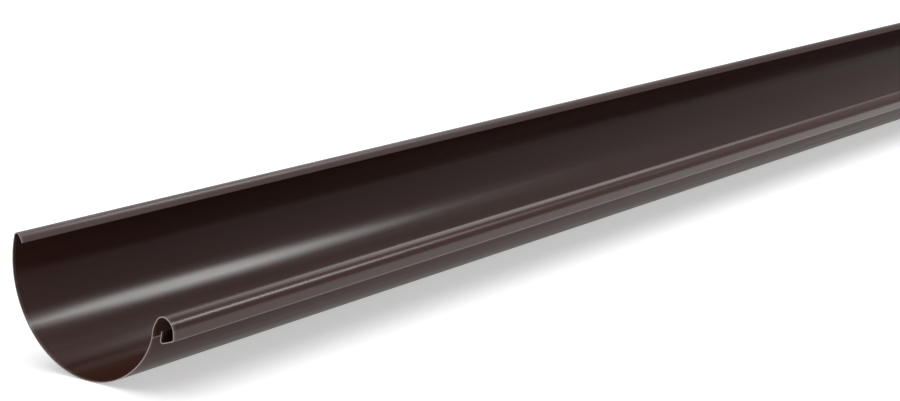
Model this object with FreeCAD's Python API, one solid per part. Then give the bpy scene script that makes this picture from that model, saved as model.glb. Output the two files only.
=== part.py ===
import FreeCAD, Part
import math
import os

# Half-round eaves gutter, roll-formed in one pass from a single strip of pre-painted steel.
# Along X it is the same section from cut end to cut end. The rolled bead is on the -Y side and
# the folded rear edge on the +Y side. Z is up, and the length lies as it comes to rest on a
# level floor: the heavy bead rolls it forward until its centre of mass is under the trough's axis.
# The origin is the middle of the box round it, at floor level.

# ---- driving dimensions, in millimetres and degrees; bend radii are to the inside of the bend ----
stockLength = 3000.0      # one length as sold
sheetThickness = 0.6      # painted sheet

troughDiameter = 125.0    # inside, the size the gutter is sold by
troughAngle = 152.0       # how far round the trough's own bend goes

hemFlange = 5.0           # rear edge, folded in and down over the trough
hemAngle = 136.5
hemRadius = 2.0

neckAngle = 25.0          # the front wall closes in a little tighter than the trough
neckRadius = 49.5
kinkAngle = 15.5          # the kink stands it upright below the bead
kinkRadius = 2.7

beadRiseAngle = 36.0      # the bead's back climbs in a wide curve from the kink
beadRiseRadius = 20.0
beadCrownAngle = 62.5     # its crown turns over
beadCrownRadius = 5.7
beadFallAngle = 78.5      # and its front curves down
beadFallRadius = 8.3
beadFace = 3.3            # to a flat face above the lower corner
cornerAngle = 71.0
cornerRadius = 1.4
beadFloor = 7.8           # folded back under the bead towards the wall
lipAngle = 120.0
lipRadius = 1.1
lipRun = 5.6              # the free edge, turned up to stand inside the bead


def run(length):
    return {"length": length}


def bend(angle, insideRadius):
    # A positive angle curls the strip towards the inside of the trough, a negative one away from it.
    return {"turn": math.radians(angle), "radius": insideRadius + sheetThickness / 2}


# The strip in the order of its width, from the rear edge to the free edge inside the bead.
troughBend = bend(troughAngle, troughDiameter / 2)
rearHem = [run(hemFlange), bend(hemAngle, hemRadius)]
frontBead = [
    bend(neckAngle, neckRadius),
    bend(kinkAngle, kinkRadius),
    bend(-beadRiseAngle, beadRiseRadius),
    bend(-beadCrownAngle, beadCrownRadius),
    bend(-beadFallAngle, beadFallRadius),
    run(beadFace),
    bend(-cornerAngle, cornerRadius),
    run(beadFloor),
    bend(-lipAngle, lipRadius),
    run(lipRun),
]
strip = rearHem + [troughBend] + frontBead


def direction(heading):
    # In the plane of the section: heading 0 points to the front, a quarter turn on points up.
    return FreeCAD.Vector(0, -math.cos(heading), math.sin(heading))


def leftOf(heading):
    return direction(heading + math.pi / 2)


def stepEnd(step, point, heading):
    # Where the sheet's middle is after one run or bend, its heading there, and the bend's centre.
    if "length" in step:
        return point + direction(heading) * step["length"], heading, None
    side = math.copysign(1, step["turn"])
    centre = point + leftOf(heading) * (side * step["radius"])
    turned = heading + step["turn"]
    return centre - leftOf(turned) * (side * step["radius"]), turned, centre


def faceEdge(step, point, heading, offset):
    # One edge of the section, on the sheet's left face for a positive offset, its right for a negative.
    start = point + leftOf(heading) * offset
    endPoint, endHeading, centre = stepEnd(step, point, heading)
    end = endPoint + leftOf(endHeading) * offset
    if centre is None:
        return Part.LineSegment(start, end).toShape()
    halfBend = dict(step, turn=step["turn"] / 2)
    middlePoint, middleHeading, _ = stepEnd(halfBend, point, heading)
    return Part.Arc(start, middlePoint + leftOf(middleHeading) * offset, end).toShape()


def cutEdge(point, heading):
    # The strip's slit edge, square across the sheet.
    across = leftOf(heading) * (sheetThickness / 2)
    return Part.LineSegment(point + across, point - across).toShape()


def stripSection(steps):
    # The closed section of the bent strip, with the trough's axis moved to the origin.
    point, heading, axis = FreeCAD.Vector(0, 0, 0), 0.0, None
    edges = [cutEdge(point, heading)]
    for step in steps:
        edges.append(faceEdge(step, point, heading, sheetThickness / 2))
        edges.append(faceEdge(step, point, heading, -sheetThickness / 2))
        point, heading, centre = stepEnd(step, point, heading)
        if step is troughBend:
            axis = centre
    edges.append(cutEdge(point, heading))
    section = Part.Face(Part.Wire(Part.__sortEdges__(edges)))
    section.translate(-axis)
    return section


def rollToRest(section):
    # Turns the section about the trough's axis until its centre of mass hangs straight below.
    balance = section.CenterOfMass
    roll = math.degrees(math.atan2(balance.y, -balance.z))
    section.rotate(FreeCAD.Vector(0, 0, 0), FreeCAD.Vector(1, 0, 0), -roll)
    return section


def stripWidth(steps):
    return sum(s["length"] if "length" in s else abs(s["turn"]) * s["radius"] for s in steps)


gutter = rollToRest(stripSection(strip)).extrude(FreeCAD.Vector(stockLength, 0, 0))
box = gutter.optimalBoundingBox(False, False)
gutter.translate(FreeCAD.Vector(-box.Center.x, -box.Center.y, -box.ZMin))

os.makedirs("parts", exist_ok=True)
gutter.exportStep("parts/gutter.step")
print("strip width", round(stripWidth(strip), 2))
print("trough axis at y", round(-box.Center.y, 3), "z", round(-box.ZMin, 3))
print("volume", round(gutter.Volume, 1), "valid", gutter.isValid(), "solids", len(gutter.Solids))
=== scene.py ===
import math

import bpy
from mathutils import Matrix, Vector


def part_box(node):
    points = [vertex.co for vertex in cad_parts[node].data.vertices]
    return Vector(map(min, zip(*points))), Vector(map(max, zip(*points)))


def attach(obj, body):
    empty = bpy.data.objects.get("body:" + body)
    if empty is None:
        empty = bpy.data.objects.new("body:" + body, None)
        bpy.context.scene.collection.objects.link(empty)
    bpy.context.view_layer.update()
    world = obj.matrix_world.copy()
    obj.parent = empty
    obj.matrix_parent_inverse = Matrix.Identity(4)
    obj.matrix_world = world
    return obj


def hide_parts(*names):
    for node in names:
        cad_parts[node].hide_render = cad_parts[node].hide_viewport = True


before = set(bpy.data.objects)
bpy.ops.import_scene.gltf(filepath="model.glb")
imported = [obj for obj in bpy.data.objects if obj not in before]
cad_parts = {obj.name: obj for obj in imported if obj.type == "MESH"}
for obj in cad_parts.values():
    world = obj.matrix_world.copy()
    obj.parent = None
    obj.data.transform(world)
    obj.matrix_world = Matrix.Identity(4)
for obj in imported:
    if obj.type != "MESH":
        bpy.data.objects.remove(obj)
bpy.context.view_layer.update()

boxLow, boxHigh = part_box("gutter")
millimetre = 0.001

# The gutter is one strip of painted sheet, bent to its section and run along X.
# Lengths and radii are in millimetres, radii on the inside of the bend, and angles in degrees.
gutter = {
    "sheetThickness": 0.6,
    "hemFlange": 3.3, "hemShoulderAngle": 16.0, "hemShoulderRadius": 8.0,
    "hemAngle": 120.5, "hemRadius": 2.1,
    "troughDiameter": 125.0, "troughAngle": 152.0,
    "neckAngle": 25.0, "neckRadius": 49.5, "kinkAngle": 15.5, "kinkRadius": 2.7,
    "beadRiseAngle": 36.0, "beadRiseRadius": 20.0,
    "beadCrownAngle": 62.5, "beadCrownRadius": 5.7,
    "beadFallAngle": 78.5, "beadFallRadius": 8.3,
    "beadFace": 3.3, "cornerAngle": 71.0, "cornerRadius": 1.4,
    "beadFloor": 7.8, "lipAngle": 120.0, "lipRadius": 1.1, "lipRun": 5.6,
    "chord": 1.0,           # longest straight piece of a wide bend
    "bendStep": 7.5,        # and the largest turn of a tight one
    "ringSpacing": 50.0,    # between cross sections along the length
    "sharpAngle": 40.0,     # edges that turn more than this stay crisp
}


def gutterSteps(size):
    # The runs and bends in order, from the rear edge to the free edge inside the bead:
    # name, length, turn and radius at the middle of the sheet.
    def run(name):
        return name, size[name], 0.0, 0.0

    def bend(name, side=1, inside=None):
        radius = size[name + "Radius"] if inside is None else inside
        return name, 0.0, side * math.radians(size[name + "Angle"]), radius + size["sheetThickness"] / 2

    return [
        run("hemFlange"), bend("hemShoulder"), bend("hem"),
        bend("trough", inside=size["troughDiameter"] / 2),
        bend("neck"), bend("kink"),
        bend("beadRise", -1), bend("beadCrown", -1), bend("beadFall", -1),
        run("beadFace"), bend("corner", -1), run("beadFloor"), bend("lip", -1), run("lipRun"),
    ]


def flatPath(size):
    # Points along the sheet's middle with the heading at each, the axis of the widest bend,
    # and the number of the point at which each step starts.
    a, b, heading = 0.0, 0.0, 0.0
    path, axis, widest, starts = [(a, b, heading)], None, 0.0, {}
    for name, length, turn, radius in gutterSteps(size):
        starts[name] = len(path) - 1
        if turn == 0.0:
            pieces = max(1, round(length / size["chord"]))
            for _ in range(pieces):
                a += math.cos(heading) * length / pieces
                b += math.sin(heading) * length / pieces
                path.append((a, b, heading))
            continue
        side = math.copysign(1, turn)
        centreA = a - side * radius * math.sin(heading)
        centreB = b + side * radius * math.cos(heading)
        if radius > widest:
            axis, widest = (centreA, centreB), radius
        stepTurn = min(math.radians(size["bendStep"]), size["chord"] / radius)
        pieces = math.ceil(abs(turn) / stepTurn)
        for _ in range(pieces):
            heading += turn / pieces
            a = centreA + side * radius * math.sin(heading)
            b = centreB - side * radius * math.cos(heading)
            path.append((a, b, heading))
    return path, axis, starts


def pathAtRest(size):
    # The path rolled about the trough's axis until its weight hangs below it; +a front, +b up.
    path, axis, starts = flatPath(size)
    weightA = weightB = total = 0.0
    for (a0, b0, _), (a1, b1, _) in zip(path, path[1:]):
        piece = math.hypot(a1 - a0, b1 - b0)
        weightA += piece * ((a0 + a1) / 2 - axis[0])
        weightB += piece * ((b0 + b1) / 2 - axis[1])
        total += piece
    roll = -math.pi / 2 - math.atan2(weightB / total, weightA / total)
    turned = []
    for a, b, heading in path:
        a, b = a - axis[0], b - axis[1]
        turned.append((a * math.cos(roll) - b * math.sin(roll),
                       a * math.sin(roll) + b * math.cos(roll), heading + roll))
    return turned, starts


def zoneOf(spot, around, last, starts):
    # The finish of one face round the section, which runs out along the trough side
    # and comes back along the outer side.
    if spot in (last - 1, around - 1):
        return "cut edge"
    if spot < last:
        return "trough side" if spot < starts["beadCrown"] else "bead top"
    step = around - 2 - spot
    if step < starts["trough"]:
        return "hem"
    if step < starts["kink"]:
        return "outer side"
    return "kink ridge" if step < starts["beadRise"] else "bead hollow"


def makeGutter(size, finishes):
    half = size["sheetThickness"] / 2
    path, starts = pathAtRest(size)
    inside = [(a - half * math.sin(h), b + half * math.cos(h)) for a, b, h in path]
    outside = [(a + half * math.sin(h), b - half * math.cos(h)) for a, b, h in path]
    ring = inside + outside[::-1]
    lowB = min(b for a, b in ring)
    midA = (min(a for a, b in ring) + max(a for a, b in ring)) / 2
    axisY = (boxLow.y + boxHigh.y) / 2 + midA * millimetre
    axisZ = boxLow.z - lowB * millimetre
    # the section stays inside the solid's box
    ring = [(min(max(axisY - a * millimetre, boxLow.y), boxHigh.y),
             min(max(axisZ + b * millimetre, boxLow.z), boxHigh.z)) for a, b in ring]
    length = boxHigh.x - boxLow.x
    spans = round(length / (size["ringSpacing"] * millimetre))
    points = [(boxLow.x + length * i / spans, y, z) for i in range(spans + 1) for y, z in ring]
    around, last = len(ring), len(path)
    faces = []
    for i in range(spans):
        for j in range(around):
            k = (j + 1) % around
            faces.append((i * around + j, i * around + k, (i + 1) * around + k, (i + 1) * around + j))
    cutFaces = []
    for start in (0, spans * around):
        for j in range(last - 1):
            corners = (start + j, start + j + 1, start + around - 2 - j, start + around - 1 - j)
            cutFaces.append(corners if start else corners[::-1])
    mesh = bpy.data.meshes.new("gutterSheet")
    mesh.from_pydata(points, [], faces + cutFaces)
    slots = list(finishes)
    for polygon in mesh.polygons:
        polygon.use_smooth = True
        isCut = polygon.index >= len(faces)
        zone = "cut edge" if isCut else zoneOf(polygon.index % around, around, last, starts)
        polygon.material_index = slots.index(zone)
    mesh.set_sharp_from_angle(angle=math.radians(size["sharpAngle"]))
    for material in finishes.values():
        mesh.materials.append(material)
    sheet = bpy.data.objects.new("gutterSheet", mesh)
    bpy.context.scene.collection.objects.link(sheet)
    return sheet, Vector((boxLow.x, axisY, axisZ))


def newMaterial(name):
    material = bpy.data.materials.new(name)
    material.use_nodes = True
    nodes, links = material.node_tree.nodes, material.node_tree.links
    nodes.clear()
    output = nodes.new("ShaderNodeOutputMaterial")
    shader = nodes.new("ShaderNodeBsdfPrincipled")
    links.new(shader.outputs["BSDF"], output.inputs["Surface"])
    return material, nodes, links, shader


# Each pattern's stretch along X, Y and Z, its scale per metre and its detail.
patterns = {
    "tone": {"stretch": (0.4, 3.0, 3.0), "perMetre": 9.0, "detail": 4.0},
    "streaks": {"stretch": (0.02, 1.0, 1.0), "perMetre": 260.0, "detail": 3.0},
    "peel": {"stretch": (1.0, 1.0, 1.0), "perMetre": 1000 / 1.3, "detail": 2.0},
    "swell": {"stretch": (0.4, 1.0, 1.0), "perMetre": 1000 / 140.0, "detail": 0.0},
    "rollLines": {"stretch": (0.002, 1.0, 1.0), "perMetre": 1000 / 2.4, "detail": 1.0},
    "patches": {"stretch": (0.06, 1.0, 1.0), "perMetre": 420.0, "detail": 3.0},
    "grain": {"stretch": (1.0, 1.0, 1.0), "perMetre": 1500.0, "detail": 3.0},
}
noiseLow, noiseHigh = 0.3, 0.7     # most of a pattern's values lie between these


def patternValue(nodes, links, place, pattern):
    mapping = nodes.new("ShaderNodeMapping")
    mapping.inputs["Scale"].default_value = pattern["stretch"]
    links.new(place, mapping.inputs["Vector"])
    noise = nodes.new("ShaderNodeTexNoise")
    noise.inputs["Scale"].default_value = pattern["perMetre"]
    noise.inputs["Detail"].default_value = pattern["detail"]
    links.new(mapping.outputs["Vector"], noise.inputs["Vector"])
    return noise.outputs["Fac"]


def mapRange(nodes, links, value, low, high, start=noiseLow, end=noiseHigh):
    remap = nodes.new("ShaderNodeMapRange")
    remap.inputs["From Min"].default_value = start
    remap.inputs["From Max"].default_value = end
    remap.inputs["To Min"].default_value = low
    remap.inputs["To Max"].default_value = high
    links.new(value, remap.inputs["Value"])
    return remap.outputs["Result"]


def combine(nodes, links, operation, first, second):
    # The second may be a fixed value or another node's output.
    result = nodes.new("ShaderNodeMath")
    result.operation = operation
    links.new(first, result.inputs[0])
    if isinstance(second, float):
        result.inputs[1].default_value = second
    else:
        links.new(second, result.inputs[1])
    return result.outputs["Value"]


def blend(nodes, links, first, second, share):
    # The first may be a fixed colour or another node's output; the second is a fixed colour.
    mix = nodes.new("ShaderNodeMix")
    mix.data_type = "RGBA"
    if isinstance(first, tuple):
        mix.inputs["A"].default_value = (*first, 1)
    else:
        links.new(first, mix.inputs["A"])
    mix.inputs["B"].default_value = (*second, 1)
    links.new(share, mix.inputs["Factor"])
    return mix.outputs["Result"]


def bump(nodes, links, height, depth, under=None):
    # Depth in millimetres; under is the relief that this one lies on.
    relief = nodes.new("ShaderNodeBump")
    relief.inputs["Distance"].default_value = depth * millimetre
    links.new(height, relief.inputs["Height"])
    if under is not None:
        links.new(under, relief.inputs["Normal"])
    return relief.outputs["Normal"]


# The finish of each zone of the strip. The zones differ for looks only: nothing shows that the
# real coat differs between them. The hem is glossier than the outer side that it is folded from.
paint = {
    "trough side": {"brown": (0.038, 0.0118, 0.0080), "brownWorn": (0.047, 0.0165, 0.0120),
                    "roughness": 0.20, "roughnessSpread": 0.03, "specular": 0.40},
    "outer side": {"brown": (0.058, 0.0215, 0.0155), "brownWorn": (0.069, 0.0285, 0.0210),
                   "roughness": 0.34, "roughnessSpread": 0.04, "specular": 0.12},
    # The bead hollow's nearly matt finish is painted shade: it darkens the hollow inside the bead,
    # where shade falls.
    "bead hollow": {"brown": (0.070, 0.0280, 0.0215), "brownWorn": (0.080, 0.0340, 0.0260),
                    "roughness": 0.60, "roughnessSpread": 0.05, "specular": 0.03},
    # The kink ridge's light brown is a painted highlight along the crease of the kink.
    "kink ridge": {"brown": (0.190, 0.145, 0.128), "brownWorn": (0.230, 0.180, 0.160),
                   "roughness": 0.40, "roughnessSpread": 0.05, "specular": 0.3},
    # The bead top's brown, lighter than the trough side of the same coat, is a painted sheen that
    # brightens the bead.
    "bead top": {"brown": (0.051, 0.0185, 0.0135), "brownWorn": (0.060, 0.0240, 0.0180),
                 "roughness": 0.235, "roughnessSpread": 0.03, "specular": 0.47},
    "hem": {"brown": (0.058, 0.0215, 0.0155), "brownWorn": (0.069, 0.0285, 0.0210),
            "roughness": 0.34, "roughnessSpread": 0.04, "specular": 0.60},
    "wornShare": 0.6,                         # the most of the worn tone in a patch
    "peelDepth": 0.0045,                      # orange peel of the coating, in millimetres
    "swellDepth": 0.05,                       # faint swells of the rolled sheet
    "rollLineDepth": 0.003,
    "highlightAndWear": (0.19, 0.168, 0.157),           # the lighter paint: a painted highlight along the hem's top, and wear with a painted glint beside the cut ends
    "highlightDepth": 2.1, "wearAndGlintEnd": 2.5,     # below the hem's top and in from the cut ends
    "highlightTopShare": 0.75, "wearAndGlintEndShare": 0.6,
    "highlightAndWearLeast": 0.45,                      # between the patches, of the share in a patch
}


def highlightAndWearShare(nodes, links, place, look):
    # How much lighter paint is laid on, in patches: a painted highlight along the top of the hem, and
    # wear with a painted glint beside the cut ends.
    parts = nodes.new("ShaderNodeSeparateXYZ")
    links.new(place, parts.inputs["Vector"])
    top = boxHigh.z - look["highlightDepth"] * millimetre
    high = mapRange(nodes, links, parts.outputs["Z"], 0.0, look["highlightTopShare"], top, boxHigh.z)
    away = combine(nodes, links, "ABSOLUTE", parts.outputs["X"], 0.0)
    inner = boxHigh.x - look["wearAndGlintEnd"] * millimetre
    end = mapRange(nodes, links, away, 0.0, look["wearAndGlintEndShare"], inner, boxHigh.x)
    patches = patternValue(nodes, links, place, patterns["patches"])
    patchy = mapRange(nodes, links, patches, look["highlightAndWearLeast"], 1.0)
    return combine(nodes, links, "MULTIPLY", combine(nodes, links, "MAXIMUM", high, end), patchy)


def paintMaterial(name, look, zone):
    material, nodes, links, shader = newMaterial(name)
    place = nodes.new("ShaderNodeTexCoord").outputs["Object"]
    tone = patternValue(nodes, links, place, patterns["tone"])
    worn = mapRange(nodes, links, tone, 0.0, look["wornShare"])
    brown = blend(nodes, links, zone["brown"], zone["brownWorn"], worn)
    # Lighter paint: a painted highlight along the hem's top, and wear with a painted glint beside the
    # cut ends.
    colour = blend(nodes, links, brown, look["highlightAndWear"], highlightAndWearShare(nodes, links, place, look))
    links.new(colour, shader.inputs["Base Color"])
    shader.inputs["Specular IOR Level"].default_value = zone["specular"]
    streaks = patternValue(nodes, links, place, patterns["streaks"])
    low, high = zone["roughness"] - zone["roughnessSpread"], zone["roughness"] + zone["roughnessSpread"]
    links.new(mapRange(nodes, links, streaks, low, high), shader.inputs["Roughness"])
    peel = patternValue(nodes, links, place, patterns["peel"])
    swell = patternValue(nodes, links, place, patterns["swell"])
    rollLines = patternValue(nodes, links, place, patterns["rollLines"])
    relief = bump(nodes, links, peel, look["peelDepth"])
    relief = bump(nodes, links, swell, look["swellDepth"], relief)
    relief = bump(nodes, links, rollLines, look["rollLineDepth"], relief)
    links.new(relief, shader.inputs["Normal"])
    return material


cutEdge = {"steel": (0.30, 0.25, 0.235), "zinc": (0.42, 0.37, 0.35), "metallic": 0.8, "roughness": 0.5}


def cutEdgeMaterial(name, look):
    material, nodes, links, shader = newMaterial(name)
    place = nodes.new("ShaderNodeTexCoord").outputs["Object"]
    grain = patternValue(nodes, links, place, patterns["grain"])
    links.new(blend(nodes, links, look["steel"], look["zinc"], grain), shader.inputs["Base Color"])
    shader.inputs["Metallic"].default_value = look["metallic"]
    shader.inputs["Roughness"].default_value = look["roughness"]
    return material


# The lift brightens the floor only as it is seen or mirrored, and lights nothing.
floor = {"radius": 60.0, "corners": 96, "colour": (0.80, 0.80, 0.80), "roughness": 0.9, "lift": 0.5}


def makeFloor(look):
    mesh = bpy.data.meshes.new("studioFloor")
    corners = look["corners"]
    ring = [(look["radius"] * math.cos(2 * math.pi * i / corners),
             look["radius"] * math.sin(2 * math.pi * i / corners), 0.0) for i in range(corners)]
    mesh.from_pydata(ring, [], [tuple(range(corners))])
    plane = bpy.data.objects.new("studioFloor", mesh)
    bpy.context.scene.collection.objects.link(plane)
    material, nodes, links, shader = newMaterial("paleFloor")
    shader.inputs["Base Color"].default_value = (*look["colour"], 1)
    shader.inputs["Roughness"].default_value = look["roughness"]
    shader.inputs["Specular IOR Level"].default_value = 0.0
    ray = nodes.new("ShaderNodeLightPath").outputs
    through = combine(nodes, links, "MAXIMUM", ray["Is Glossy Ray"], ray["Is Transmission Ray"])
    seen = combine(nodes, links, "MAXIMUM", ray["Is Camera Ray"], through)
    shader.inputs["Emission Color"].default_value = (1, 1, 1, 1)
    links.new(combine(nodes, links, "MULTIPLY", seen, look["lift"]), shader.inputs["Emission Strength"])
    mesh.materials.append(material)
    return plane


# Each panel's middle is at a bearing from the front towards +X and a height above level, in degrees,
# and its level is how bright it looks in a mirror. The panels face the aim, in metres from the
# trough's axis at the -X end.
light = {
    "skyStrength": 0.33,
    "aim": (0.15, 0.04, -0.03),
    "panels": {
        "keyPanel": {"bearing": 57.3, "height": 35.3, "distance": 6.0, "width": 1.15, "tall": 0.85,
                     "level": 11.3},
        "backPanel": {"bearing": 109.0, "height": 34.0, "distance": 2.6, "width": 1.25, "tall": 1.28,
                      "level": 1.05},
        "topPanel": {"bearing": 90.0, "height": 90.0, "distance": 5.0, "width": 6.6, "tall": 6.6,
                     "level": 1.45},
    },
}


def makeWorld(look):
    world = bpy.data.worlds.new("studio")
    world.use_nodes = True
    background = world.node_tree.nodes["Background"]
    background.inputs["Color"].default_value = (1, 1, 1, 1)
    background.inputs["Strength"].default_value = look["skyStrength"]
    bpy.context.scene.world = world


def makePanel(name, look, target):
    bearing, height = math.radians(look["bearing"]), math.radians(look["height"])
    away = Vector((math.sin(bearing) * math.cos(height), -math.cos(bearing) * math.cos(height),
                   math.sin(height)))
    lamp = bpy.data.lights.new(name, "AREA")
    lamp.shape = "RECTANGLE"
    lamp.size, lamp.size_y = look["width"], look["tall"]
    lamp.energy = math.pi * look["width"] * look["tall"] * look["level"]
    holder = bpy.data.objects.new(name, lamp)
    holder.location = target + away * look["distance"]
    holder.rotation_euler = (-away).to_track_quat("-Z", "Y").to_euler()
    bpy.context.scene.collection.objects.link(holder)
    return holder


camera = {
    "place": (-0.75482, -0.83187, 0.28547),      # from the trough's axis at the -X end
    "towards": (0.78487, 0.58265, -0.21093),
    "roll": -0.121,                              # in degrees
    "lens": 76.508, "sensorWidth": 36.0,
}


def makeCamera(look, axisPoint):
    shot = bpy.data.cameras.new("camera")
    shot.lens = look["lens"]
    shot.sensor_width = look["sensorWidth"]
    holder = bpy.data.objects.new("camera", shot)
    holder.location = axisPoint + Vector(look["place"])
    level = Vector(look["towards"]).to_track_quat("-Z", "Y").to_matrix()
    holder.rotation_euler = (level @ Matrix.Rotation(math.radians(look["roll"]), 3, "Z")).to_euler()
    bpy.context.scene.collection.objects.link(holder)
    bpy.context.scene.camera = holder
    return holder


finishes = {
    "trough side": paintMaterial("brownPaint", paint, paint["trough side"]),
    "outer side": paintMaterial("brownPaintOuter", paint, paint["outer side"]),
    # painted shade in the bead hollow
    "bead hollow": paintMaterial("paintedShadeHollow", paint, paint["bead hollow"]),
    # a painted highlight along the kink ridge
    "kink ridge": paintMaterial("paintedHighlightRidge", paint, paint["kink ridge"]),
    "cut edge": cutEdgeMaterial("cutSheetEdge", cutEdge),
    # a painted sheen on the bead top
    "bead top": paintMaterial("paintedSheenBead", paint, paint["bead top"]),
    "hem": paintMaterial("brownPaintHem", paint, paint["hem"]),
}
print("finishes:", ", ".join(finishes))

sheet, axisPoint = makeGutter(gutter, finishes)
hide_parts("gutter")
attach(sheet, "root")
print("gutter sheet:", len(sheet.data.polygons), "faces, trough axis at", tuple(axisPoint))

makeFloor(floor)
print("floor: radius", floor["radius"])

makeWorld(light)
for panelName, panelLook in light["panels"].items():
    makePanel(panelName, panelLook, axisPoint + Vector(light["aim"]))
print("light:", ", ".join(light["panels"]))

makeCamera(camera, axisPoint)
bpy.context.scene.view_settings.view_transform = "Standard"
print("camera: lens", camera["lens"])
